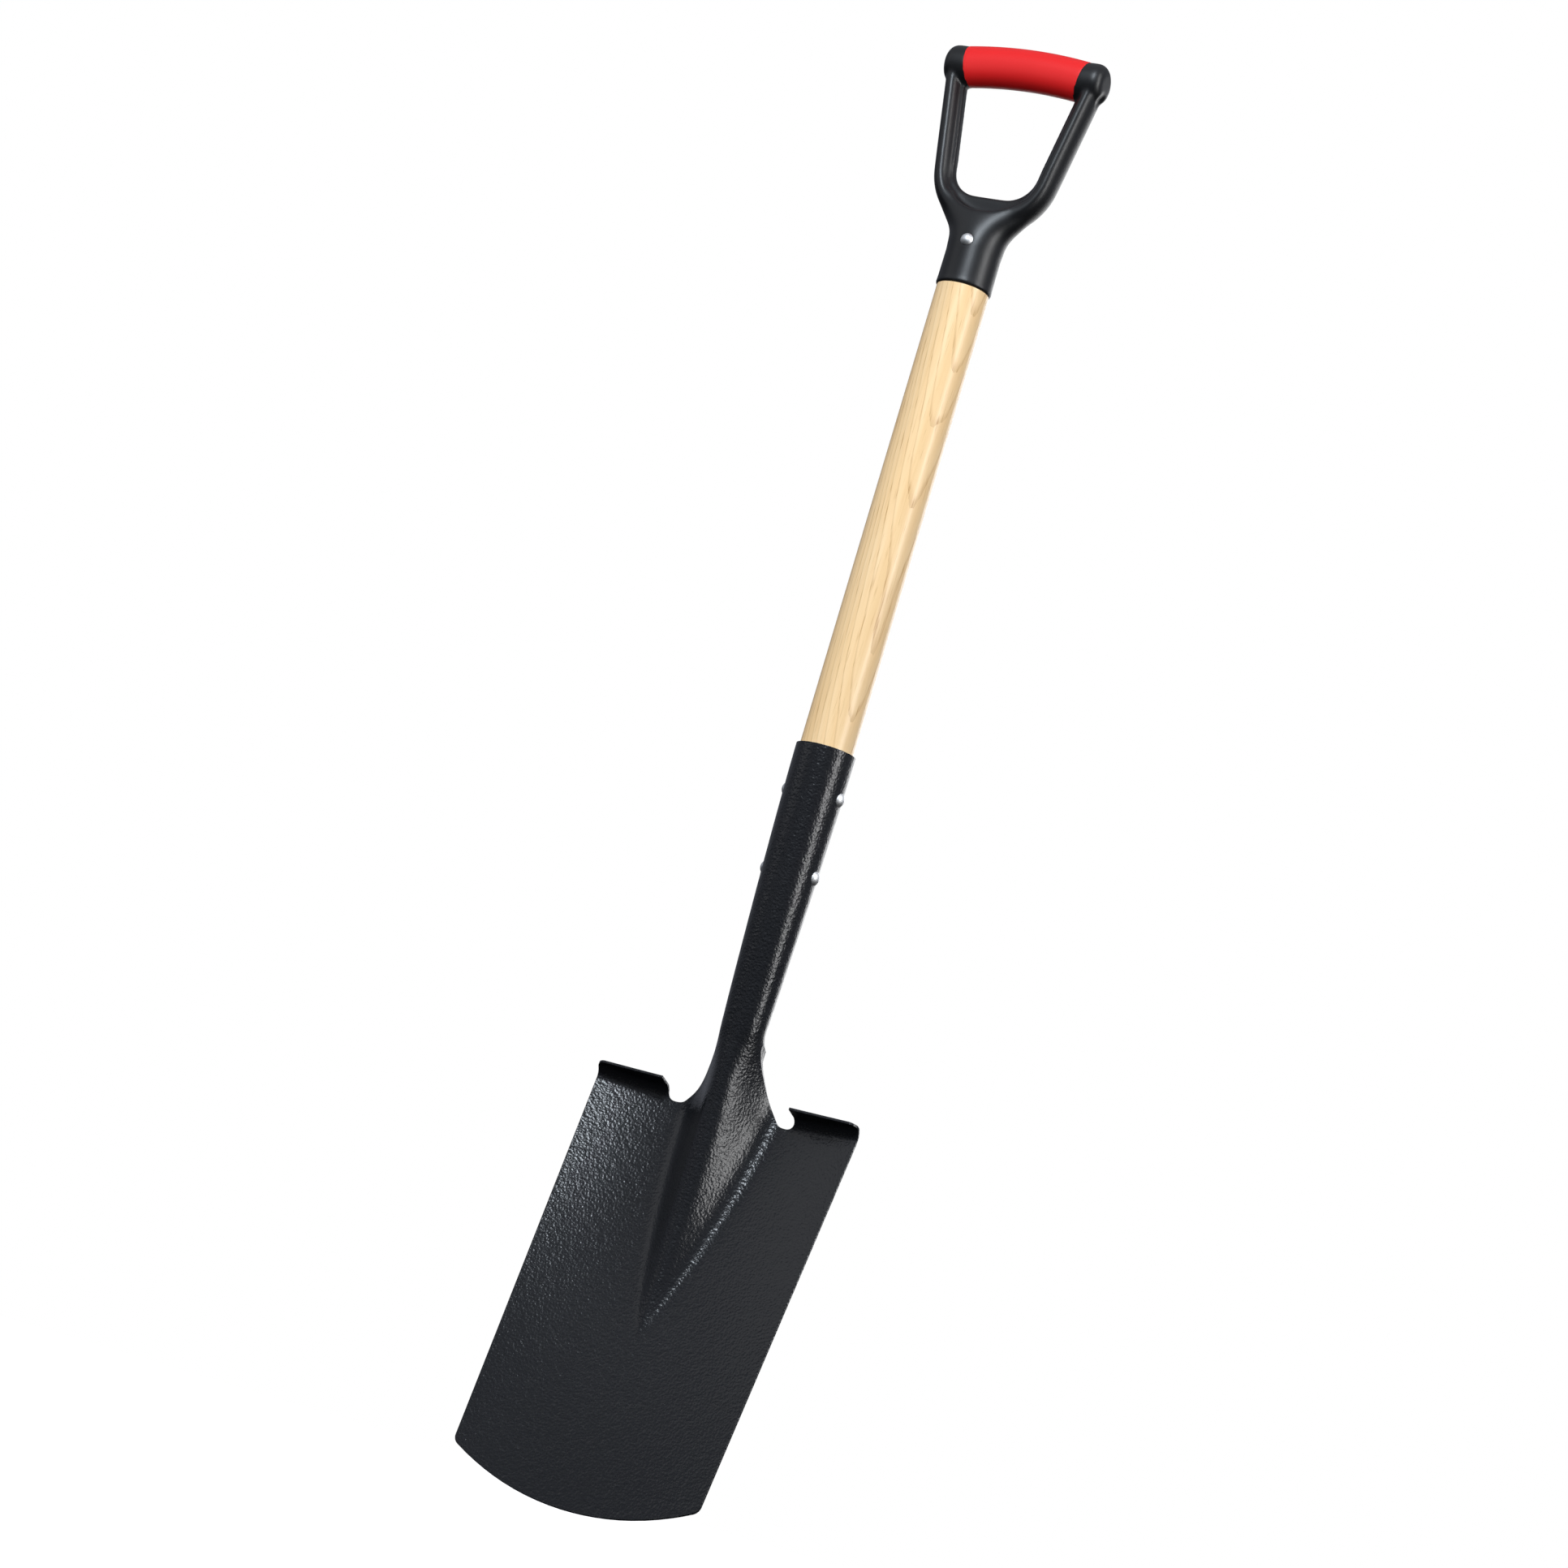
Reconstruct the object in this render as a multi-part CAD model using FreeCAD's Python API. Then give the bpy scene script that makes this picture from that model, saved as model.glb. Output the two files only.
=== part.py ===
import FreeCAD, Part
import math
import os

# Garden spade with a D-shaped handle.
# Millimetres. +Z runs up the shaft, +X across the blade and along the grip bar,
# and -Y is the face of the blade that the treads turn towards.
# The origin is the middle of the grip bar.

V = FreeCAD.Vector
X_DIR = V(1, 0, 0)
Y_DIR = V(0, 1, 0)
Z_DIR = V(0, 0, 1)
ORIGIN = V(0, 0, 0)

# ---- shaft -----------------------------------------------------------------
SHAFT_RADIUS = 19.0          # turned ash, 38 mm
EXPOSED_LENGTH = 344.0       # bare wood between the socket's rim and the grip
SHAFT_IN_SOCKET = 192.0      # length of the taper inside the socket
TENON_RADIUS = 16.0          # shouldered end inside the grip's ferrule
TENON_LENGTH = 45.0
END_CHAMFER = 1.5

# ---- D grip ----------------------------------------------------------------
FERRULE_RADIUS = 20.0
FERRULE_LIP = 0.4            # how far the rounded lower lip stands out
FERRULE_DRAFT = 0.2          # the mould draws it in by this much at its top
FERRULE_RISE = 30.0
FERRULE_TO_BAR = 170.0       # lower lip up to the middle of the bar
TENON_CLEARANCE = 0.1        # radial gap between the tenon and the ferrule
BORE_END_GAP = 1.0           # space left above the tenon
ARM_SPLAY = math.radians(9.7)
FORK_RADIUS = 40.6           # centre line of the U where the arms part
FORK_ABOVE_LIP = 91.6        # height of that U's centre
ARM_HALF_WIDTH = 6.3
ARM_HALF_DEPTH = 12.5
WEB_HALF_THICKNESS = 4.5
FLARE_START = 28.0           # above the lip; the flare ends at the opening's floor
# shares of the flare's rise, widening and thinning, and how square its section is
FLARE = (
    (0.0, 0.0, 0.0, 2.0),
    (0.186, 0.036, 0.056, 2.05),
    (0.349, 0.13, 0.197, 2.1),
    (0.512, 0.35, 0.408, 2.25),
    (0.674, 0.60, 0.634, 2.4),
    (0.837, 0.825, 0.831, 2.5),
    (1.0, 1.0, 1.0, 2.6),
)
OPENING_FLOOR = 71.0         # bottom of the hand opening above the lip
OPENING_CORNER = 21.0
WEB_REACH = 2.4              # web's edge stands this far inside the arm
BAR_CORE_RADIUS = 9.0
CAP_LENGTH = 18.5
CAP_ROUNDING = 7.5
SCOOP_RADIUS = 9.0           # finger-shaped recess low on each cap's outer side

# ---- grip sleeve -----------------------------------------------------------
SLEEVE_RADIUS = 14.9
SLEEVE_HALF_SPAN = 42.7
BAR_ARCH = 3.4               # rise of the bar's middle over the sleeve's ends

# ---- pressed steel socket and blade ----------------------------------------
SHEET = 1.9                  # 14 gauge
SOCKET_CLEARANCE = 0.5       # radial gap round the wood at the rim
NECK_RADIUS = 15.3           # outside of the tube at its narrow end
NECK_BELOW_RIM = 212.0
SOCKET_BULGE = 1.45          # 1 is a straight cone, more keeps it full longer
SEAM_HALF_ANGLE = math.radians(8.0)

TREAD_BELOW_RIM = 248.2      # treads' top plane, measured on the side edges
EDGE_SETBACK = 10.5          # side edges lie this far behind the shaft's axis
CRANK = math.radians(13.9)   # blade leans forward of the shaft by this much
BLADE_LENGTH = 282.6         # treads' top to the bottom corners
BLADE_SAG = 23.3             # bottom arc's middle below the corners
TOP_WIDTH = 200.0
BOTTOM_WIDTH = 184.6
CORNER_RADIUS = 7.0
DISH_TOP = 13.0               # centre line behind the side edges
DISH_BOTTOM = 3.4
DISH_SHAPE = 2.3             # 2 is a plain parabola, more is flatter inside

RIDGE_HALF_WIDTH = 46.0
RIDGE_FALL = 4.5             # higher draws the flanks in and eases their feet
RIDGE_LENGTH = 178.0         # from the treads' top to the ridge's point
TRANSITION = 40.0            # tube opens into the blade over this height

# outline from the neck to the notch: distance beyond the neck's side, and v
SHOULDER = ((1.1, -34.0), (2.3, -26.0), (6.2, -15.0), (12.0, -3.8), (18.8, 4.8))
FLANGE = ((-2.7, -33.0), (-1.2, -29.5), (2.3, -26.0))   # the same behind the neck
FLANGE_DEPTH = 8.0           # that part lies this far behind the shaft's axis
NOTCH_RADIUS = 5.5
NOTCH_CENTRE_U = 43.0
NOTCH_CENTRE_V = 3.0

TREAD_PROJECTION = 11.0      # lip's front edge ahead of the side edges
TREAD_BOW = 2.0              # that edge's own dish
TREAD_CORNER = 8.0           # rounding of the lip's outer corner
TREAD_BEND_RADIUS = 10.0     # outside of the bend
TREAD_THINNING = 0.16        # metal drawn out of the sheet by the bend
TREAD_SKIM = 0.05            # taken off the turned edge to leave its top flat

# ---- rivets ----------------------------------------------------------------
SOCKET_RIVET_RADIUS = 3.0
SOCKET_RIVET_HEAD = 5.6
SOCKET_RIVET_DOME = 2.7
UPPER_RIVET_DROP = 32.0      # below the rim
LOWER_RIVET_DROP = 89.0
GRIP_RIVET_RADIUS = 2.5
GRIP_RIVET_HEAD = 4.9
GRIP_RIVET_DOME = 2.3
GRIP_RIVET_RISE = 32.0       # above the ferrule's lip
HEAD_BEDDING = 1.2           # heads start this far inside, then are cut to seat

# ---- heights that follow from the sizes above --------------------------------
LIP_Z = -FERRULE_TO_BAR
RIM_Z = LIP_Z - EXPOSED_LENGTH
RIM_RADIUS = SHAFT_RADIUS + SOCKET_CLEARANCE + SHEET
TREAD_Z = RIM_Z - TREAD_BELOW_RIM
FORK_Z = LIP_Z + FORK_ABOVE_LIP
BAR_END_Z = -BAR_ARCH

# blade axes: u runs along +X, v down the blade and n forward out of its face
BLADE_ORIGIN = V(0, EDGE_SETBACK, TREAD_Z)
DOWN_BLADE = V(0, -math.sin(CRANK), -math.cos(CRANK))
OUT_OF_FACE = V(0, -math.cos(CRANK), math.sin(CRANK))


def blade_point(u, v, n):
    """Position given in the blade's own axes."""
    return BLADE_ORIGIN + X_DIR * u + DOWN_BLADE * v + OUT_OF_FACE * n


def smooth_step(t):
    t = min(1.0, max(0.0, t))
    return t * t * (3 - 2 * t)


# ---- shape of the pressed sheet ---------------------------------------------
def socket_radius(drop):
    """Outside radius of the rolled socket at a distance below its rim."""
    share = min(1.0, max(0.0, drop) / NECK_BELOW_RIM)
    return RIM_RADIUS - (RIM_RADIUS - NECK_RADIUS) * share ** SOCKET_BULGE


def half_width(v):
    return (TOP_WIDTH + (BOTTOM_WIDTH - TOP_WIDTH) * v / BLADE_LENGTH) / 2


def dish(u, v):
    depth = DISH_TOP + (DISH_BOTTOM - DISH_TOP) * smooth_step(v / BLADE_LENGTH)
    return -depth * (1 - abs(u / half_width(v)) ** DISH_SHAPE)


def crest_height():
    """Ridge height at the treads' top that carries on the neck's front line."""
    centre = blade_point(0, 0, dish(0, 0))
    return (centre.y + NECK_RADIUS) / math.cos(CRANK)


def ridge(u, v):
    """Height of the central ridge above the dished blade."""
    if v >= RIDGE_LENGTH:
        return 0.0
    height = crest_height() * (1 - v / RIDGE_LENGTH) ** 1.2
    width = RIDGE_HALF_WIDTH
    if v > 0:
        width *= max(1e-6, 1 - (v / RIDGE_LENGTH) ** 1.6) ** 0.8
    if abs(u) >= width:
        return 0.0
    return height * (1 - (u / width) ** 2) ** RIDGE_FALL


def face_point(u, v):
    return blade_point(u, v, dish(u, v) + ridge(u, v))


def tube_point(s, drop):
    """Point on the socket, where s runs from -1 to 1 round to the back seam."""
    angle = s * (math.pi - SEAM_HALF_ANGLE)
    radius = socket_radius(drop)
    return V(radius * math.sin(angle), -radius * math.cos(angle), RIM_Z - drop)


def spread(s, opened=1.0):
    """Distance across the blade that belongs to s; slower near the ridge."""
    near = NECK_RADIUS * (math.pi - SEAM_HALF_ANGLE)
    reach = TOP_WIDTH / 2 + 3
    return near * s + (reach - near) * s ** 3 * opened


def sheet_point(s, t):
    """Front of the sheet: socket for t in 0..1, neck in 1..2, blade in 2..3."""
    if t >= 2:
        return face_point(spread(s), (t - 2) * (BLADE_LENGTH + BLADE_SAG + 4))
    if t <= 1:
        return tube_point(s, t * neck_drop(-TRANSITION))
    v = TRANSITION * (t - 2)
    share = smooth_step(t - 1)
    tube = tube_point(s, neck_drop(v))
    opened = smooth_step(t - 1) ** 1.5
    return tube * (1 - share) + face_point(spread(s, opened), v) * share


def neck_drop(v):
    """How far below the rim the crest of the ridge is at v."""
    return RIM_Z - face_point(0, v).z


def sheet_normal(s, t):
    ds = 0.002
    dt = 0.01
    t_low = max(0.0, t - dt)
    t_high = min(3.0, t + dt)
    across = sheet_point(s + ds, t) - sheet_point(s - ds, t)
    along = sheet_point(s, t_high) - sheet_point(s, t_low)
    return along.cross(across).normalize()


def skin(columns, rows, inset):
    """One smooth surface through a net of points on the formed sheet."""
    net = []
    for t in rows:
        line = []
        for s in columns:
            line.append(sheet_point(s, t) - sheet_normal(s, t) * inset)
        net.append(line)
    surface = Part.BSplineSurface()
    surface.interpolate(net)
    return surface


def sheet_rows():
    """Stations down the sheet, close together round the neck."""
    tube = 16
    neck = 10
    blade = 34
    rows = [1 - (1 - i / tube) ** 1.5 for i in range(tube)]
    rows += [1 + i / neck for i in range(neck)]
    rows += [2 + (i / blade) ** 1.35 for i in range(blade + 1)]
    return rows


def formed_sheet():
    """Socket, neck and blade as one sheet, before it is cut to outline."""
    count = 24
    columns = [i / count for i in range(-count, count + 1)]
    rows = sheet_rows()
    front = skin(columns, rows, 0.0)
    back = skin(columns, rows, SHEET)
    u0, u1, v0, v1 = front.bounds()
    faces = [front.toShape(), back.toShape()]
    for u in (u0, u1):
        faces.append(edge_strip(front.uIso(u), back.uIso(u)))
    for v in (v0, v1):
        faces.append(edge_strip(front.vIso(v), back.vIso(v)))
    shell = Part.Compound(faces)
    shell.sewShape(1e-3)
    return outward(Part.makeSolid(Part.Shell(shell.Faces)))


def edge_strip(front, back):
    """Sheared edge of the sheet between matching curves on its two faces."""
    return Part.makeRuledSurface(front.toShape(), back.toShape(), 1)


def outward(solid):
    if solid.Volume < 0:
        solid.reverse()
    return solid


def blank_outline():
    """Outline that the formed sheet is trimmed to, as a prism along n."""
    def at(u, v):
        return blade_point(u, v, 0)

    top = -TREAD_BELOW_RIM - 92
    neck_v = -TRANSITION - 5
    band = RIM_RADIUS + 3
    start = Part.Vertex(at(0, top)).Point
    bottom_v = BLADE_LENGTH
    low = at(0, BLADE_LENGTH + BLADE_SAG)
    corner = at(half_width(bottom_v), bottom_v)
    beside = NECK_RADIUS + SHOULDER[0][0]
    shoulder = [at(NECK_RADIUS + out, v) for out, v in SHOULDER]
    notch_low = at(NOTCH_CENTRE_U, NOTCH_CENTRE_V + NOTCH_RADIUS)
    turn = NOTCH_RADIUS * math.sqrt(0.5)
    notch_mid = at(NOTCH_CENTRE_U + turn, NOTCH_CENTRE_V + turn)
    notch_wall = at(NOTCH_CENTRE_U + NOTCH_RADIUS, NOTCH_CENTRE_V)
    curve = Part.BSplineCurve()
    curve.interpolate(
        shoulder + [notch_low],
        InitialTangent=DOWN_BLADE * 12 + X_DIR * 0.8,
        FinalTangent=X_DIR * 10,
    )
    wall_top = at(NOTCH_CENTRE_U + NOTCH_RADIUS, -8)
    side_top = at(half_width(-8), -8)
    arc = Part.Arc(corner, low, V(-corner.x, corner.y, corner.z)).toShape()
    side = Part.makeLine(side_top, corner)
    edges = [
        Part.makeLine(start, at(band, top)),
        Part.makeLine(at(band, top), at(band, neck_v)),
        Part.makeLine(at(band, neck_v), at(beside, neck_v)),
        Part.makeLine(at(beside, neck_v), shoulder[0]),
        curve.toShape(),
        Part.Arc(notch_low, notch_mid, notch_wall).toShape(),
        Part.makeLine(notch_wall, wall_top),
        Part.makeLine(wall_top, side_top),
        side,
    ]
    mirrored = [e.mirror(ORIGIN, X_DIR) for e in edges]
    wire = Part.Wire(Part.__sortEdges__(edges + mirrored + [arc]))
    face = Part.Face(wire)
    face.translate(OUT_OF_FACE * -45)
    prism = face.extrude(OUT_OF_FACE * 190)
    return round_bottom_corners(prism)


def round_bottom_corners(prism):
    """Rounds the blade's two bottom corners, which are edges along n."""
    picked = []
    corner = V(half_width(BLADE_LENGTH), 0, 0).x
    for edge in prism.Edges:
        middle = edge.BoundBox.Center
        depth = (middle - BLADE_ORIGIN).dot(DOWN_BLADE)
        straight = abs(edge.Length - 190) < 0.01
        if straight and abs(depth - BLADE_LENGTH) < 0.5:
            if abs(abs(middle.x) - corner) < 0.5:
                picked.append(edge)
    return prism.makeFillet(CORNER_RADIUS, picked)


def flange_trimmer():
    """What is sheared off behind the neck, where the seam begins to open."""
    def at(u, v):
        return blade_point(u, v, -60)

    edge = [at(NECK_RADIUS + out, v) for out, v in FLANGE]
    curve = Part.BSplineCurve()
    curve.interpolate(edge, InitialTangent=DOWN_BLADE * 6)
    high = FLANGE[0][1] - 20
    low = FLANGE[-1][1]
    start = NECK_RADIUS + FLANGE[0][0]
    wide = RIM_RADIUS + 20
    corners = [edge[-1], at(wide, low), at(wide, high), at(start, high), edge[0]]
    lines = [Part.makeLine(a, b) for a, b in zip(corners, corners[1:])]
    face = Part.Face(Part.Wire([curve.toShape()] + lines))
    behind_n = (V(0, FLANGE_DEPTH, 0) - BLADE_ORIGIN + Z_DIR * (TREAD_Z - low)).dot(OUT_OF_FACE)
    return face.extrude(OUT_OF_FACE * (60 + behind_n))


def tread_section(u):
    """Closed section of a turned tread in the plane at u."""
    thick = SHEET - TREAD_THINNING
    inset = TREAD_THINNING / 2
    face = dish(u, TREAD_BEND_RADIUS) - inset
    back = face - thick
    radius = TREAD_BEND_RADIUS - inset
    inner = radius - thick
    centre_v = radius - TREAD_SKIM
    centre_n = back + radius
    share = 1 - (u / half_width(0)) ** 2
    edge = TREAD_PROJECTION - TREAD_BOW * share
    leg = TREAD_BEND_RADIUS + 6
    turn = math.sqrt(0.5)

    def at(v, n):
        return blade_point(u, v, n)

    leg_face = dish(u, leg) - inset
    under = thick - TREAD_SKIM
    points = (
        at(leg, leg_face - thick),
        at(centre_v, back),
        at(-TREAD_SKIM, centre_n),
        at(-TREAD_SKIM, edge),
        at(under, edge),
        at(under, centre_n),
        at(centre_v, face),
        at(leg, leg_face),
    )
    outer_mid = at(centre_v - radius * turn, centre_n - radius * turn)
    inner_mid = at(centre_v - inner * turn, centre_n - inner * turn)
    edges = [
        Part.makeLine(points[0], points[1]),
        Part.Arc(points[1], outer_mid, points[2]).toShape(),
        Part.makeLine(points[2], points[3]),
        Part.makeLine(points[3], points[4]),
        Part.makeLine(points[4], points[5]),
        Part.Arc(points[5], inner_mid, points[6]).toShape(),
        Part.makeLine(points[6], points[7]),
        Part.makeLine(points[7], points[0]),
    ]
    return Part.Wire(edges)


def tread():
    """Right-hand tread: the blade's top edge turned forward."""
    inner = NOTCH_CENTRE_U - 1
    outer = TOP_WIDTH / 2 + 2
    steps = 4
    stations = [inner + (outer - inner) * i / steps for i in range(steps + 1)]
    sections = [tread_section(u) for u in stations]
    lip = outward(Part.makeLoft(sections, True, False))
    lip = lip.cut(blade_block(0, 2 * outer, -10, 0, -60, 60))
    return lip.cut(lip_corner())


def blade_block(u0, u1, v0, v1, n0, n1):
    """Block between two limits along each of the blade's own axes."""
    corners = [
        blade_point(u0, v0, n0),
        blade_point(u1, v0, n0),
        blade_point(u1, v1, n0),
        blade_point(u0, v1, n0),
    ]
    face = Part.Face(Part.makePolygon(corners + [corners[0]]))
    return face.extrude(OUT_OF_FACE * (n1 - n0))


def lip_corner():
    """What is rounded off the outer front corner of a tread."""
    outer = half_width(0)
    centre_u = outer - TREAD_CORNER
    centre_n = TREAD_PROJECTION - TREAD_CORNER
    square = blade_block(centre_u, outer + 5, -5, 8, centre_n, centre_n + 20)
    round_end = Part.makeCylinder(
        TREAD_CORNER, 40, blade_point(centre_u, -20, centre_n), DOWN_BLADE
    )
    return square.cut(round_end)


def tread_clearer():
    """Block that removes the flat sheet where the treads take over."""
    bend = TREAD_BEND_RADIUS
    return blade_block(NOTCH_CENTRE_U, TOP_WIDTH, -70, bend, -60, 60)


def rivet_hole(radius, height, direction):
    reach = 60.0
    middle = V(0, 0, height)
    return Part.makeCylinder(radius, 2 * reach, middle - direction * reach, direction)


def blade_and_socket():
    sheet = formed_sheet()
    for block in (tread_clearer(), tread_clearer().mirror(ORIGIN, X_DIR)):
        sheet = sheet.cut(block)
    right = tread()
    sheet = sheet.fuse([right, right.mirror(ORIGIN, X_DIR)])
    sheet = sheet.common(blank_outline())
    trimmer = flange_trimmer()
    sheet = sheet.cut([trimmer, trimmer.mirror(ORIGIN, X_DIR)])
    for drop in (UPPER_RIVET_DROP, LOWER_RIVET_DROP):
        sheet = sheet.cut(rivet_hole(SOCKET_RIVET_RADIUS, RIM_Z - drop, X_DIR))
    return sheet


# ---- shaft -----------------------------------------------------------------
def shaft():
    end_z = RIM_Z - SHAFT_IN_SOCKET
    end_radius = socket_radius(SHAFT_IN_SOCKET) - SHEET - SOCKET_CLEARANCE
    tenon_z = LIP_Z + TENON_LENGTH
    profile = [
        V(0, 0, end_z),
        V(end_radius - END_CHAMFER, 0, end_z),
        V(end_radius, 0, end_z + END_CHAMFER),
        V(SHAFT_RADIUS, 0, RIM_Z),
        V(SHAFT_RADIUS, 0, LIP_Z),
        V(TENON_RADIUS, 0, LIP_Z),
        V(TENON_RADIUS, 0, tenon_z - END_CHAMFER),
        V(TENON_RADIUS - END_CHAMFER, 0, tenon_z),
        V(0, 0, tenon_z),
    ]
    face = Part.Face(Part.makePolygon(profile + [profile[0]]))
    body = face.revolve(ORIGIN, Z_DIR, 360)
    for drop in (UPPER_RIVET_DROP, LOWER_RIVET_DROP):
        body = body.cut(rivet_hole(SOCKET_RIVET_RADIUS, RIM_Z - drop, X_DIR))
    return body.cut(rivet_hole(GRIP_RIVET_RADIUS, LIP_Z + GRIP_RIVET_RISE, Y_DIR))


# ---- D grip ----------------------------------------------------------------
def bar_path(half_span):
    """Arched centre line of the bar, cut or carried on to a half span."""
    radius = (SLEEVE_HALF_SPAN ** 2 + BAR_ARCH ** 2) / (2 * BAR_ARCH)
    drop = radius - math.sqrt(radius ** 2 - half_span ** 2)
    return Part.Arc(V(-half_span, 0, -drop), ORIGIN, V(half_span, 0, -drop)).toShape()


def bar_sweep(radius, half_span):
    path = bar_path(half_span)
    start = path.valueAt(path.FirstParameter)
    tangent = path.tangentAt(path.FirstParameter)
    ring = Part.Wire(Part.makeCircle(radius, start, tangent))
    return outward(Part.Wire(path).makePipeShell([ring], True, True))


def end_cap():
    """Right-hand cap, turned about the bar's line at the sleeve's end."""
    inner = SLEEVE_HALF_SPAN - 4
    outer = SLEEVE_HALF_SPAN + CAP_LENGTH
    turn = CAP_ROUNDING * math.sqrt(0.5)
    corner = V(outer - CAP_ROUNDING, 0, SLEEVE_RADIUS - CAP_ROUNDING)
    points = (
        V(inner, 0, 0),
        V(inner, 0, SLEEVE_RADIUS),
        corner + V(0, 0, CAP_ROUNDING),
        corner + V(turn, 0, turn),
        corner + V(CAP_ROUNDING, 0, 0),
        V(outer, 0, 0),
    )
    edges = [
        Part.makeLine(points[0], points[1]),
        Part.makeLine(points[1], points[2]),
        Part.Arc(points[2], points[3], points[4]).toShape(),
        Part.makeLine(points[4], points[5]),
        Part.makeLine(points[5], points[0]),
    ]
    cap = Part.Face(Part.Wire(edges)).revolve(ORIGIN, X_DIR, 360)
    cap.translate(V(0, 0, BAR_END_Z))
    return cap


def arm_line_x(z):
    """Distance of an arm's centre line from the middle at a height."""
    foot_x = FORK_RADIUS * math.cos(ARM_SPLAY)
    foot_z = FORK_Z - FORK_RADIUS * math.sin(ARM_SPLAY)
    return foot_x + (z - foot_z) * math.tan(ARM_SPLAY)


def fork_arms():
    """Both arms and the U between them, as one oval bar."""
    foot_x = FORK_RADIUS * math.cos(ARM_SPLAY)
    foot_z = FORK_Z - FORK_RADIUS * math.sin(ARM_SPLAY)
    top_x = arm_line_x(BAR_END_Z)
    low = V(0, 0, FORK_Z - FORK_RADIUS)
    path = Part.Wire([
        Part.makeLine(V(-top_x, 0, BAR_END_Z), V(-foot_x, 0, foot_z)),
        Part.Arc(V(-foot_x, 0, foot_z), low, V(foot_x, 0, foot_z)).toShape(),
        Part.makeLine(V(foot_x, 0, foot_z), V(top_x, 0, BAR_END_Z)),
    ])
    down = V(top_x - foot_x, 0, foot_z - BAR_END_Z)
    oval = Part.Ellipse(ORIGIN, ARM_HALF_DEPTH, ARM_HALF_WIDTH).toShape()
    across = down.cross(Y_DIR).normalize()
    place = FreeCAD.Placement(
        V(-top_x, 0, BAR_END_Z),
        FreeCAD.Rotation(Y_DIR, across, down, "ZXY"),
    )
    oval.Placement = place
    return outward(path.makePipeShell([Part.Wire(oval)], True, False))


def oval_ring(across, deep, squareness, height):
    """Smooth closed ring, wider in X than in Y; a squareness of 2 is an oval."""
    count = 32
    power = 2 / squareness
    points = []
    for i in range(count):
        angle = 2 * math.pi * (i + 0.5) / count
        x = math.copysign(abs(math.cos(angle)) ** power, math.cos(angle))
        y = math.copysign(abs(math.sin(angle)) ** power, math.sin(angle))
        points.append(V(across * x, deep * y, height))
    ring = Part.BSplineCurve()
    ring.interpolate(points, PeriodicFlag=True)
    return ring.toShape()


def fork_root():
    """Flare from the round ferrule out to the arms."""
    start = FERRULE_RADIUS - FERRULE_DRAFT
    widening = FORK_RADIUS + 0.6 - start
    thinning = ARM_HALF_DEPTH + 0.2 - start
    rise = OPENING_FLOOR - FLARE_START
    sections = []
    for up, wide, thin, squareness in FLARE:
        across = start + widening * wide
        deep = start + thinning * thin
        height = LIP_Z + FLARE_START + rise * up
        sections.append(Part.Wire(oval_ring(across, deep, squareness, height)))
    root = outward(Part.makeLoft(sections, True, False))
    scoop = Part.makeCylinder(
        FORK_RADIUS - ARM_HALF_WIDTH, 80, V(0, -40, FORK_Z), Y_DIR
    )
    return root.cut(scoop)


def fork_web():
    """Flat web inside the fork, with the hand opening cut through it."""
    thick = 2 * WEB_HALF_THICKNESS
    low = LIP_Z + OPENING_FLOOR
    edge = ARM_HALF_WIDTH + WEB_REACH
    top_z = BAR_END_Z
    fork = Part.makeCylinder(
        FORK_RADIUS, thick, V(0, -WEB_HALF_THICKNESS, FORK_Z), Y_DIR
    )
    foot_x = FORK_RADIUS * math.cos(ARM_SPLAY)
    foot_z = FORK_Z - FORK_RADIUS * math.sin(ARM_SPLAY)
    plate_points = [
        V(-foot_x, -WEB_HALF_THICKNESS, foot_z),
        V(foot_x, -WEB_HALF_THICKNESS, foot_z),
        V(arm_line_x(top_z), -WEB_HALF_THICKNESS, top_z),
        V(-arm_line_x(top_z), -WEB_HALF_THICKNESS, top_z),
    ]
    plate = Part.Face(Part.makePolygon(plate_points + [plate_points[0]]))
    plate = plate.extrude(Y_DIR * thick).fuse(fork)
    above = top_z + 40
    hole_points = [
        V(edge - arm_line_x(low), -20, low),
        V(arm_line_x(low) - edge, -20, low),
        V(arm_line_x(above) - edge, -20, above),
        V(edge - arm_line_x(above), -20, above),
    ]
    hole = Part.Face(Part.makePolygon(hole_points + [hole_points[0]]))
    hole = hole.extrude(Y_DIR * 40)
    corners = [
        e for e in hole.Edges
        if abs(e.Length - 40) < 1e-6 and abs(e.BoundBox.Center.z - low) < 1e-3
    ]
    return plate.cut(hole.makeFillet(OPENING_CORNER, corners))


def ferrule():
    top = LIP_Z + FERRULE_RISE
    narrow = FERRULE_RADIUS - FERRULE_DRAFT
    lip = FERRULE_RADIUS + FERRULE_LIP
    points = (
        V(0, 0, LIP_Z),
        V(FERRULE_RADIUS - 0.6, 0, LIP_Z),
        V(lip, 0, LIP_Z + 1.4),
        V(FERRULE_RADIUS, 0, LIP_Z + 3.2),
        V(narrow, 0, top),
        V(0, 0, top),
    )
    edges = [
        Part.makeLine(points[0], points[1]),
        Part.Arc(points[1], points[2], points[3]).toShape(),
        Part.makeLine(points[3], points[4]),
        Part.makeLine(points[4], points[5]),
        Part.makeLine(points[5], points[0]),
    ]
    return Part.Face(Part.Wire(edges)).revolve(ORIGIN, Z_DIR, 360)


def cap_scoop():
    """Recess pressed into the outer side of the right-hand cap."""
    outer = SLEEVE_HALF_SPAN + CAP_LENGTH
    return Part.makeSphere(SCOOP_RADIUS, V(outer + 4.6, 2.5, BAR_END_Z - 13.5))


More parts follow.
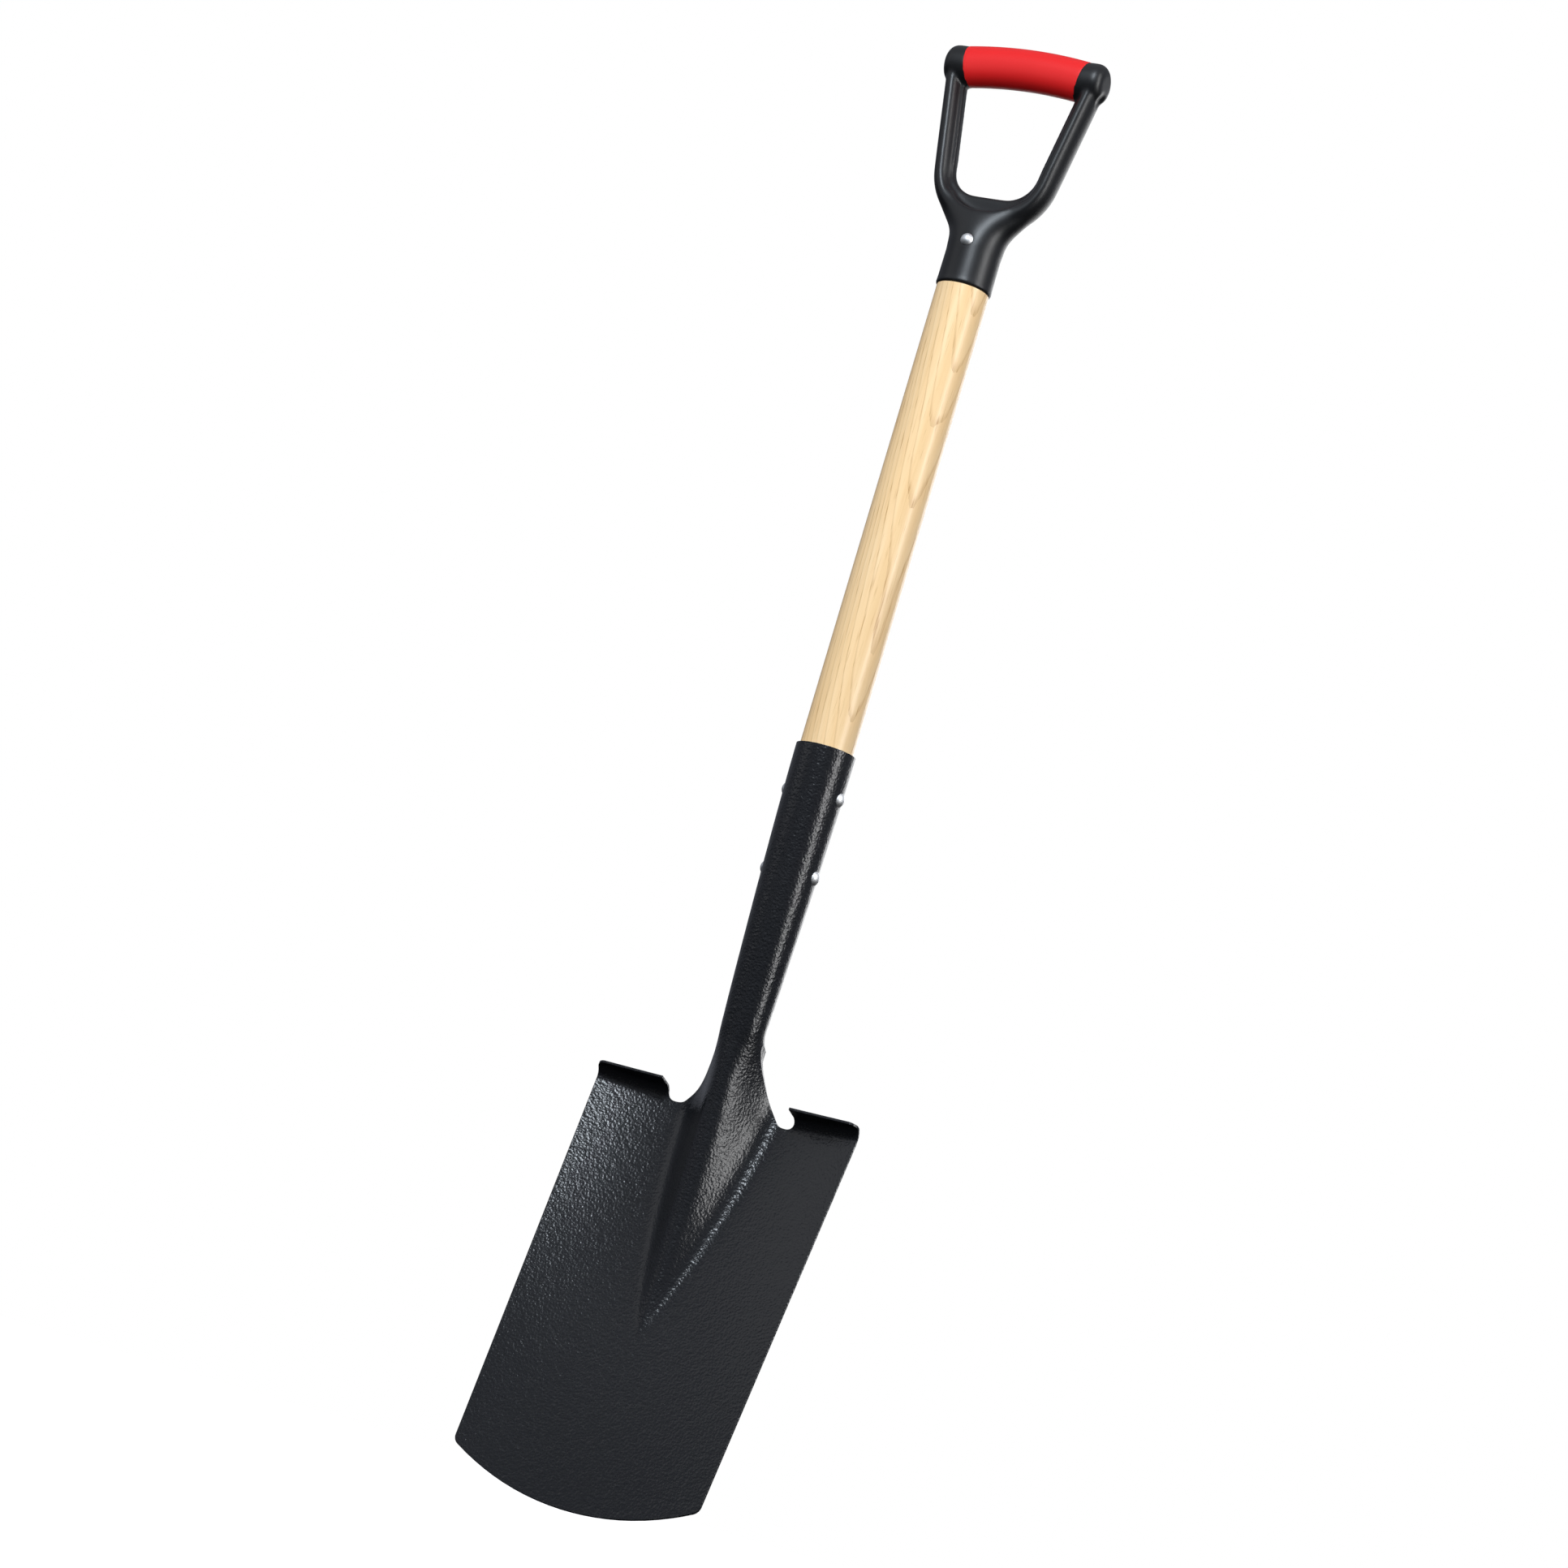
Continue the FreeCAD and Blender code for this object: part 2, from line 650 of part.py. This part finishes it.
def d_grip():
    cap = end_cap()
    core = bar_sweep(BAR_CORE_RADIUS, SLEEVE_HALF_SPAN + 3)
    pieces = [
        fork_arms(),
        fork_root(),
        ferrule(),
        cap,
        cap.mirror(ORIGIN, X_DIR),
        core,
    ]
    body = fork_web().fuse(pieces)
    scoop = cap_scoop()
    body = body.cut([scoop, scoop.mirror(ORIGIN, X_DIR)])
    body = body.cut(bar_sleeve_space())
    bore = Part.makeCylinder(
        TENON_RADIUS + TENON_CLEARANCE,
        TENON_LENGTH + BORE_END_GAP,
        V(0, 0, LIP_Z),
        Z_DIR,
    )
    body = body.cut(bore)
    hole = rivet_hole(GRIP_RIVET_RADIUS, LIP_Z + GRIP_RIVET_RISE, Y_DIR)
    return body.cut(hole).removeSplitter()


def bar_sleeve_space():
    """Ring round the core that the sleeve fills."""
    core = bar_sweep(BAR_CORE_RADIUS, SLEEVE_HALF_SPAN + 3)
    ring = bar_sweep(SLEEVE_RADIUS + 4, SLEEVE_HALF_SPAN).cut(core)
    return ring


def grip_sleeve():
    core = bar_sweep(BAR_CORE_RADIUS, SLEEVE_HALF_SPAN + 3)
    return bar_sweep(SLEEVE_RADIUS, SLEEVE_HALF_SPAN).cut(core)


# ---- rivets ----------------------------------------------------------------
def domed_rivet(shank, head, dome, seat, height, direction, seated_on):
    """Rivet across the shaft with a domed head seated on each side."""
    depth = dome + HEAD_BEDDING
    curve = (head ** 2 + depth ** 2) / (2 * depth)
    heads = []
    for side in (1, -1):
        way = direction * side
        base = V(0, 0, height) + way * (seat - HEAD_BEDDING)
        ball = Part.makeSphere(curve, base + way * (depth - curve))
        disc = Part.makeCylinder(head, depth + 1, base, way)
        heads.append(ball.common(disc).cut(seated_on))
    reach = seat + dome / 2
    start = V(0, 0, height) - direction * reach
    pin = Part.makeCylinder(shank, 2 * reach, start, direction)
    return pin.fuse(heads)


def socket_rivet(drop):
    """Rivet whose heads are pressed down to the round of the socket."""
    reach = 2 * SOCKET_RIVET_HEAD
    low = socket_radius(drop + reach)
    high = socket_radius(drop - reach)
    low_z = V(0, 0, RIM_Z - drop - reach)
    tube = Part.makeCone(low, high, 2 * reach, low_z, Z_DIR)
    return domed_rivet(
        SOCKET_RIVET_RADIUS, SOCKET_RIVET_HEAD, SOCKET_RIVET_DOME,
        socket_radius(drop), RIM_Z - drop, X_DIR, tube,
    )


def grip_rivet(body):
    return domed_rivet(
        GRIP_RIVET_RADIUS, GRIP_RIVET_HEAD, GRIP_RIVET_DOME,
        FERRULE_RADIUS - FERRULE_DRAFT, LIP_Z + GRIP_RIVET_RISE, Y_DIR, body,
    )


def build():
    sheet = blade_and_socket()
    grip = d_grip()
    nodes = {
        "blade_and_socket": sheet,
        "shaft": shaft(),
        "d_grip": grip,
        "grip_sleeve": grip_sleeve(),
        "upper_socket_rivet": socket_rivet(UPPER_RIVET_DROP),
        "lower_socket_rivet": socket_rivet(LOWER_RIVET_DROP),
        "d_grip_rivet": grip_rivet(grip),
    }
    os.makedirs("parts", exist_ok=True)
    for name, shape in nodes.items():
        solids = shape.Solids
        if len(solids) == 1:
            shape = solids[0]
        print(name, len(solids), round(shape.Volume), shape.isValid(), shape.BoundBox)
        shape.exportStep(os.path.join("parts", name + ".step"))


build()
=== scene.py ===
import math

import bmesh
import bpy
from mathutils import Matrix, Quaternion, Vector


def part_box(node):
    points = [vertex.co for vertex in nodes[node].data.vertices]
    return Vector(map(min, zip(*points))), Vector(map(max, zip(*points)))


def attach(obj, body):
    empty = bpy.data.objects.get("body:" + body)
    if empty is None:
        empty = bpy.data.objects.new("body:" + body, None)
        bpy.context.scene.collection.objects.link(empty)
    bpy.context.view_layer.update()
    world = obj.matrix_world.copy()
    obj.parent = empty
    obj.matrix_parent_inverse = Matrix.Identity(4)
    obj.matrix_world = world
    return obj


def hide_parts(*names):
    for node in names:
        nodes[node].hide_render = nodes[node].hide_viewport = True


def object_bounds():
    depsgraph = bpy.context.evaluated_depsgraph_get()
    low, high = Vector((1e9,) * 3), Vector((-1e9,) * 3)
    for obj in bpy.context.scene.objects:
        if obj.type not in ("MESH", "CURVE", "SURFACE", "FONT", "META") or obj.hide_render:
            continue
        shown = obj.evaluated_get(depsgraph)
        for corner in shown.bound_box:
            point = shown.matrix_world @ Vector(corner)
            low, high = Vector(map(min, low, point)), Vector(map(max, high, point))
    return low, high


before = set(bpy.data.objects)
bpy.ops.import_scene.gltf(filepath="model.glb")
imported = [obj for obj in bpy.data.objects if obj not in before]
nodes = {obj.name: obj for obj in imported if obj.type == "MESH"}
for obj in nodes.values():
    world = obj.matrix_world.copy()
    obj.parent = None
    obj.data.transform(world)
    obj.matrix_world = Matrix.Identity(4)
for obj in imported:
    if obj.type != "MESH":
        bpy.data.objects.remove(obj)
cad_low, cad_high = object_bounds()
scene = bpy.context.scene

MM = 0.001


# ---------------------------------------------------------------- finishes

class Line:
    """One value running through a mix; sums on it add Math nodes."""

    def __init__(self, mix, socket):
        self.mix, self.socket = mix, socket

    def sum(self, operation, *terms):
        return self.mix.add("ShaderNodeMath", {"operation": operation},
                            dict(enumerate(terms)))

    def __add__(self, other):
        return self.sum("ADD", self, other)

    def __sub__(self, other):
        return self.sum("SUBTRACT", self, other)

    def __mul__(self, other):
        return self.sum("MULTIPLY", self, other)

    def __pow__(self, other):
        return self.sum("POWER", self, other)

    def __radd__(self, other):
        return self.sum("ADD", other, self)

    def __rsub__(self, other):
        return self.sum("SUBTRACT", other, self)

    def fraction(self):
        return self.sum("FRACT", self)

    def over(self, low, high):
        """0 at low and 1 at high, eased between them."""
        settings = {"interpolation_type": "SMOOTHSTEP"}
        values = {"Value": self, "From Min": low, "From Max": high}
        return self.mix.add("ShaderNodeMapRange", settings, values)

    def other(self, name):
        """Another output of the same node."""
        return Line(self.mix, self.socket.node.outputs[name])


class Mix:
    """A node tree that is built up from nothing."""

    def __init__(self, tree):
        self.tree = tree
        self.tree.nodes.clear()

    def add(self, kind, settings, values, out=0):
        """A node of that kind, settings first, then its sockets."""
        node = self.tree.nodes.new(kind)
        for name, value in settings.items():
            if name == "stops":
                set_stops(node.color_ramp, value)
            else:
                setattr(node, name, value)
        for name, value in values.items():
            if isinstance(value, Line):
                self.tree.links.new(value.socket, node.inputs[name])
            else:
                node.inputs[name].default_value = value
        return Line(self, node.outputs[out]) if node.outputs else None


class Finish(Mix):
    """A paint, wood, moulding, rubber or metal."""

    def __init__(self, name):
        self.material = bpy.data.materials.new(name)
        self.material.use_nodes = True
        super().__init__(self.material.node_tree)
        self.place = self.add("ShaderNodeTexCoord", {}, {}, "Object")

    def stretched(self, x, y, z, shift=(0, 0, 0)):
        """Position on the tool, scaled per metre along each axis."""
        values = {"Vector": self.place, "Scale": (x, y, z),
                  "Location": shift}
        return self.add("ShaderNodeMapping", {}, values)

    def noise(self, scale, detail=2.0, roughness=0.5, place=None):
        values = {"Vector": place or self.place, "Scale": scale,
                  "Detail": detail, "Roughness": roughness}
        return self.add("ShaderNodeTexNoise", {}, values)

    def cells(self, scale, smooth=0.6, place=None):
        settings = {"feature": "SMOOTH_F1"}
        values = {"Vector": place or self.place, "Scale": scale,
                  "Smoothness": smooth}
        return self.add("ShaderNodeTexVoronoi", settings, values)

    def blend(self, share, first, second):
        """Colour going from first to second as share goes 0 to 1."""
        settings = {"data_type": "RGBA", "clamp_factor": True}
        values = {0: share, 6: first, 7: second}
        return self.add("ShaderNodeMix", settings, values, 2)

    def relief(self, height, depth, strength=1.0, normal=None):
        """Surface normal for a height of 0 to 1 that is depth deep."""
        values = {"Height": height, "Distance": depth,
                  "Strength": strength}
        if normal:
            values["Normal"] = normal
        return self.add("ShaderNodeBump", {}, values)

    def eased_edges(self, radius):
        settings = {"samples": 6}
        return self.add("ShaderNodeBevel", settings, {"Radius": radius})

    def shade(self, **sockets):
        """Ends the tree in one shader; Base_Color is "Base Color"."""
        values = {k.replace("_", " "): v for k, v in sockets.items()}
        shader = self.add("ShaderNodeBsdfPrincipled", {}, values)
        self.add("ShaderNodeOutputMaterial", {}, {"Surface": shader})
        return self.material


def set_stops(ramp, stops):
    while len(ramp.elements) < len(stops):
        ramp.elements.new(1.0)
    for element, (at, colour) in zip(ramp.elements, stops):
        element.position = at
        element.color = colour


def rgb(red, green, blue):
    return (red, green, blue, 1.0)


def powder_coat():
    """Black powder coat on the steel, baked to an orange peel."""
    coat = Finish("black_orange_peel_powder_coat")
    peel_depth, edge_build = 0.25 * MM, 0.7 * MM
    drift = coat.noise(9.0, 3.0)
    pebbles = coat.cells(620.0, 0.8)
    lumps = coat.noise(520.0, 1.0)
    swell = coat.noise(150.0, 1.0)
    peel = pebbles * 0.7 + lumps * 0.8 + swell * 0.6
    eased = coat.eased_edges(edge_build)
    colour = coat.blend(drift, rgb(0.0058, 0.0066, 0.0084),
                        rgb(0.0080, 0.0088, 0.0106))
    fines = coat.noise(300.0, 3.0)
    roughness = 0.20 + drift * 0.05 + fines * 0.06
    normal = coat.relief(peel, peel_depth, 1.0, eased)
    return coat.shade(Base_Color=colour, Roughness=roughness,
                      Normal=normal, IOR=1.5)


def lacquered_ash():
    """Pale ash turned from a flat-sawn board, under clear lacquer."""
    ash = Finish("clear_lacquered_ash")
    year_of_growth, pore_depth = 2.9 * MM, 0.04 * MM
    lean = ash.add("ShaderNodeMapping", {"vector_type": "POINT"}, {
        "Vector": ash.place,
        "Rotation": (math.radians(2.4), math.radians(1.7), 0.0),
        "Location": (0.062, -0.052, 0.0)})
    wander = ash.noise(1.0, 2.0, 0.45, ash.stretched(15, 15, 3.4))
    wobble = ash.noise(1.0, 2.0, 0.5, ash.stretched(80, 80, 11.0))
    east = ash.add("ShaderNodeSeparateXYZ", {}, {"Vector": lean}, "X")
    north = east.other("Y")
    radius = (east * east + north * north) ** 0.5
    radius = radius + (wander - 0.5) * 0.016 + (wobble - 0.5) * 0.0018
    ring = (radius * (1 / year_of_growth)).fraction()
    porous = 1 - ring.over(0.02, 0.22)
    band = ring.over(0.20, 0.98)
    dashes = ash.noise(1.0, 2.0, 0.6, ash.stretched(1100, 1100, 42))
    pores = dashes.over(0.46, 0.64)
    fibres = ash.noise(1.0, 3.0, 0.6, ash.stretched(800, 800, 12))
    cloud = ash.noise(1.0, 2.0, 0.5, ash.stretched(24, 24, 5.0,
                                                   (3, 1, 2)))
    vein = porous * (0.45 + pores * 0.55)
    flecks = pores * dashes.over(0.60, 0.75)
    pale = ash.blend(cloud.over(0.3, 0.7), rgb(0.880, 0.665, 0.400),
                     rgb(0.855, 0.605, 0.320))
    body = ash.blend(band * 0.35, pale, rgb(0.790, 0.520, 0.245))
    body = ash.blend(fibres.over(0.35, 0.75) * 0.22, body,
                     rgb(0.720, 0.440, 0.185))
    colour = ash.blend(vein * 0.75 + flecks * 0.45, body,
                       rgb(0.500, 0.270, 0.090))
    roughness = 0.36 + fibres * 0.08 + vein * 0.14
    grain = fibres * 0.4 + (1 - vein) * 0.6
    return ash.shade(Base_Color=colour, Roughness=roughness,
                     Normal=ash.relief(grain, pore_depth, 0.7),
                     Coat_Weight=0.25, Coat_Roughness=0.20)


def satin_moulding():
    """Black glass-filled nylon, satin from its mould."""
    nylon = Finish("satin_black_moulding")
    mould_texture = 0.008 * MM
    flow = nylon.noise(26.0, 3.0, 0.55)
    skin = nylon.noise(2600.0, 2.0)
    haze = nylon.noise(95.0, 3.0)
    colour = nylon.blend(flow, rgb(0.0042, 0.0046, 0.0056),
                         rgb(0.0064, 0.0070, 0.0082))
    roughness = 0.35 + flow * 0.06 + haze * 0.05
    normal = nylon.relief(skin + haze * 0.6, mould_texture, 0.9)
    return nylon.shade(Base_Color=colour, Roughness=roughness,
                       Normal=normal)


def soft_red():
    """Soft red rubber of the hand grip, rubbed smooth."""
    rubber = Finish("soft_red_rubber")
    rubbed_depth = 0.012 * MM
    flow = rubber.noise(30.0, 2.0)
    skin = rubber.noise(1700.0, 2.0)
    streak = rubber.noise(1.0, 2.0, 0.5,
                          rubber.stretched(38, 260, 260))
    colour = rubber.blend(flow * 0.7 + streak * 0.3,
                          rgb(0.730, 0.014, 0.015),
                          rgb(0.670, 0.010, 0.011))
    roughness = 0.44 + flow * 0.08 + streak * 0.05
    normal = rubber.relief(skin + streak * 0.5, rubbed_depth, 0.8)
    return rubber.shade(Base_Color=colour, Roughness=roughness,
                        Specular_IOR_Level=0.32, Normal=normal)


def bright_zinc():
    """Zinc plate over a hammered rivet head."""
    zinc = Finish("bright_zinc_plate")
    hammer_depth = 0.05 * MM
    dents = zinc.noise(420.0, 1.5)
    spangle = zinc.cells(900.0, 0.2)
    colour = zinc.blend(spangle, rgb(0.95, 0.96, 0.97),
                        rgb(0.86, 0.87, 0.88))
    roughness = 0.42 + dents * 0.12 + spangle * 0.08
    return zinc.shade(Base_Color=colour, Metallic=1.0,
                      Roughness=roughness,
                      Normal=zinc.relief(dents, hammer_depth, 0.7))


def pale_floor_paint():
    """Pale floor that stays bright a long way back."""
    paint = Finish("pale_floor_paint")
    drift = paint.noise(1.5, 2.0)
    colour = paint.blend(drift, rgb(0.95, 0.95, 0.95),
                         rgb(0.92, 0.92, 0.92))
    return paint.shade(Base_Color=colour, Roughness=0.9,
                       Emission_Color=rgb(1.0, 1.0, 1.0),
                       Emission_Strength=0.90)


# ------------------------------------------------------------------ pieces

def dress(piece, material):
    piece.data.materials.clear()
    piece.data.materials.append(material)


def show(name, mesh, material, record_slot, *stands_for):
    """Puts a finished mesh in place of the CAD nodes it stands for."""
    piece = bpy.data.objects.new(name, mesh)
    scene.collection.objects.link(piece)
    for polygon in mesh.polygons:
        polygon.use_smooth = True
    dress(piece, material)
    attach(piece, "root")
    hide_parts(*stands_for)
    return piece


def baked(piece):
    """The piece's mesh with its modifiers worked in."""
    graph = bpy.context.evaluated_depsgraph_get()
    mesh = bpy.data.meshes.new_from_object(
        piece.evaluated_get(graph), depsgraph=graph)
    bpy.data.objects.remove(piece)
    return mesh


def moulded_d_grip(material):
    """The handle with the radii that its mould leaves at each root."""
    cast = nodes["d_grip"].copy()
    cast.data = nodes["d_grip"].data.copy()
    cast.parent = None
    scene.collection.objects.link(cast)
    skin = cast.modifiers.new("skin", "REMESH")
    skin.mode = "VOXEL"
    skin.voxel_size = 0.8 * MM
    soften = cast.modifiers.new("radii", "SMOOTH")
    soften.factor, soften.iterations = 0.5, 30
    mesh = baked(cast)
    blend_fork(mesh)
    return show("d_grip_moulding", mesh, material, "black_moulding",
                "d_grip")


def blend_fork(mesh):
    """Runs the arms into the flare below them without a seam."""
    passes = 40
    seam_above_lip, reach = 62 * MM, 34 * MM
    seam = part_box("d_grip")[0].z + seam_above_lip
    body = bmesh.new()
    body.from_mesh(mesh)
    share = {}
    for vert in body.verts:
        away = abs(vert.co.z - seam) / reach
        if away < 1:
            share[vert] = 0.5 * (1 - away * away)
    for _ in range(passes):
        moved = {}
        for vert, part in share.items():
            ends = [e.other_vert(vert).co for e in vert.link_edges]
            middle = sum(ends, Vector()) / len(ends)
            moved[vert] = vert.co.lerp(middle, part)
        for vert, place in moved.items():
            vert.co = place
    body.to_mesh(mesh)
    body.free()


def hand_sleeve(material):
    """Soft sleeve on the arched bar, its ends rounded over."""
    low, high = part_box("grip_sleeve")
    radius = high.y
    span = high.x
    rise = -low.z - radius
    bend = (span * span + rise * rise) / (2 * rise)
    half_turn = math.asin(span / bend)
    wall = 5.7 * MM
    ease = 0.9 * MM
    bore = radius - wall
    end = half_turn - ease / bend
    half_rows, steps = 24, 72
    middle = [(end * i / half_rows, radius)
              for i in range(-half_rows, half_rows + 1)]
    quarter = [math.pi / 2 * i / 5 for i in range(1, 6)]
    right = [(end + ease / bend * math.sin(a),
              radius - ease + ease * math.cos(a)) for a in quarter]
    left = [(-turn, size) for turn, size in reversed(right)]
    profile = ([(-half_turn, bore)] + left + middle + right
               + [(half_turn, bore)])
    sleeve = bmesh.new()
    rings = []
    for turn, size in profile:
        along = Vector((math.sin(turn), 0, math.cos(turn)))
        centre = Vector((bend * along.x, 0, bend * (along.z - 1)))
        ring = []
        for k in range(steps):
            a = 2 * math.pi * k / steps
            spoke = along * math.cos(a) + Vector((0, math.sin(a), 0))
            ring.append(sleeve.verts.new(centre + spoke * size))
        rings.append(ring)
    for one, two in zip(rings, rings[1:] + rings[:1]):
        for k in range(steps):
            n = (k + 1) % steps
            sleeve.faces.new((one[k], one[n], two[n], two[k]))
    bmesh.ops.recalc_face_normals(sleeve, faces=sleeve.faces)
    mesh = bpy.data.meshes.new("hand_sleeve")
    sleeve.to_mesh(mesh)
    sleeve.free()
    return show("hand_sleeve", mesh, material, "red_soft_grip",
                "grip_sleeve")


# ------------------------------------------------------------------- stage

def lay_floor(material):
    half_span = 60.0
    height = cad_low.z - 35 * MM
    ground = bmesh.new()
    bmesh.ops.create_grid(ground, x_segments=4, y_segments=4,
                          size=half_span)
    for vert in ground.verts:
        vert.co.z = height
    mesh = bpy.data.meshes.new("floor")
    ground.to_mesh(mesh)
    ground.free()
    floor = bpy.data.objects.new("floor", mesh)
    scene.collection.objects.link(floor)
    dress(floor, material)
    floor.visible_glossy = False
    floor.visible_diffuse = False


def direction(azimuth, elevation):
    a, e = math.radians(azimuth), math.radians(elevation)
    return Vector((math.sin(a) * math.cos(e),
                   -math.cos(a) * math.cos(e), math.sin(e)))


def softbox(name, azimuth, elevation, distance, width, height,
            radiance, colour, mirrored):
    """Soft rectangular light aimed at the middle of the tool."""
    middle = (cad_low + cad_high) / 2
    lamp = bpy.data.lights.new(name, "AREA")
    lamp.shape = "RECTANGLE"
    lamp.size, lamp.size_y = width, height
    lamp.energy = radiance * math.pi * width * height
    lamp.color = colour
    holder = bpy.data.objects.new(name, lamp)
    back = direction(azimuth, elevation)
    holder.location = middle + back * distance
    holder.rotation_mode = "QUATERNION"
    holder.rotation_quaternion = back.to_track_quat("Z", "Y")
    holder.visible_glossy = mirrored
    scene.collection.objects.link(holder)


def studio_sky():
    """White to the eye; a soft dome of light for the tool."""
    world = bpy.data.worlds.new("studio_sky")
    world.use_nodes = True
    scene.world = world
    sky = Mix(world.node_tree)
    stops = [(0.00, rgb(0.01, 0.01, 0.01)),
             (0.46, rgb(0.02, 0.02, 0.02)),
             (0.54, rgb(0.18, 0.19, 0.22)),
             (0.80, rgb(0.22, 0.23, 0.26)),
             (1.00, rgb(0.40, 0.40, 0.42))]
    way = sky.add("ShaderNodeTexCoord", {}, {}, "Generated")
    height = sky.add("ShaderNodeSeparateXYZ", {}, {"Vector": way}, "Z")
    share = sky.add("ShaderNodeMapRange", {},
                    {"Value": height, "From Min": -1.0})
    tint = sky.add("ShaderNodeValToRGB", {"stops": stops},
                   {"Fac": share})
    dome = sky.add("ShaderNodeBackground", {}, {"Color": tint})
    white = sky.add("ShaderNodeBackground", {},
                    {"Color": rgb(1, 1, 1)})
    seen = sky.add("ShaderNodeLightPath", {}, {}, "Is Camera Ray")
    either = sky.add("ShaderNodeMixShader", {},
                     {0: seen, 1: dome, 2: white})
    sky.add("ShaderNodeOutputWorld", {}, {"Surface": either})


def set_camera():
    """A long lens, right of the tool and level with its blade."""
    stand = (1.1579, -2.6282, -1.0422)
    azimuth, elevation, roll = 24.204, -9.829, math.radians(16.62)
    lens = bpy.data.cameras.new("camera")
    lens.sensor_width = 36.0
    lens.lens = 96.894
    lens.clip_end = 90.0
    camera = bpy.data.objects.new("camera", lens)
    camera.location = stand
    camera.rotation_mode = "QUATERNION"
    lean = Quaternion((0, 0, 1), roll)
    back = direction(azimuth, elevation)
    camera.rotation_quaternion = back.to_track_quat("Z", "Y") @ lean
    scene.collection.objects.link(camera)
    scene.camera = camera


WHITE, COOL = (1.0, 1.0, 1.0), (0.84, 0.92, 1.0)
# azimuth, elevation, distance, width, height, radiance, colour and
# whether the light also shows in glossy surfaces
SOFTBOXES = {
    "right_softbox": (79, 20, 2.4, 0.60, 2.20, 8.5, WHITE, True),
    "left_softbox": (10, 38, 2.4, 0.62, 0.62, 32.0, COOL, True),
    "wide_fill": (-53, 29, 2.8, 1.60, 2.20, 0.5, WHITE, True),
    "low_fill": (-20, -10, 2.8, 1.60, 2.20, 4.6, WHITE, False),
    "back_softbox": (182, 12, 2.6, 2.60, 1.60, 2.4, WHITE, True),
}

set_camera()
studio_sky()
for name, values in SOFTBOXES.items():
    softbox(name, *values)
lay_floor(pale_floor_paint())

zinc = bright_zinc()
dress(nodes["blade_and_socket"], powder_coat())
dress(nodes["shaft"], lacquered_ash())
for rivet in ("upper_socket_rivet", "lower_socket_rivet",
              "d_grip_rivet"):
    dress(nodes[rivet], zinc)
moulded_d_grip(satin_moulding())
hand_sleeve(soft_red())

scene.view_settings.view_transform = "Standard"
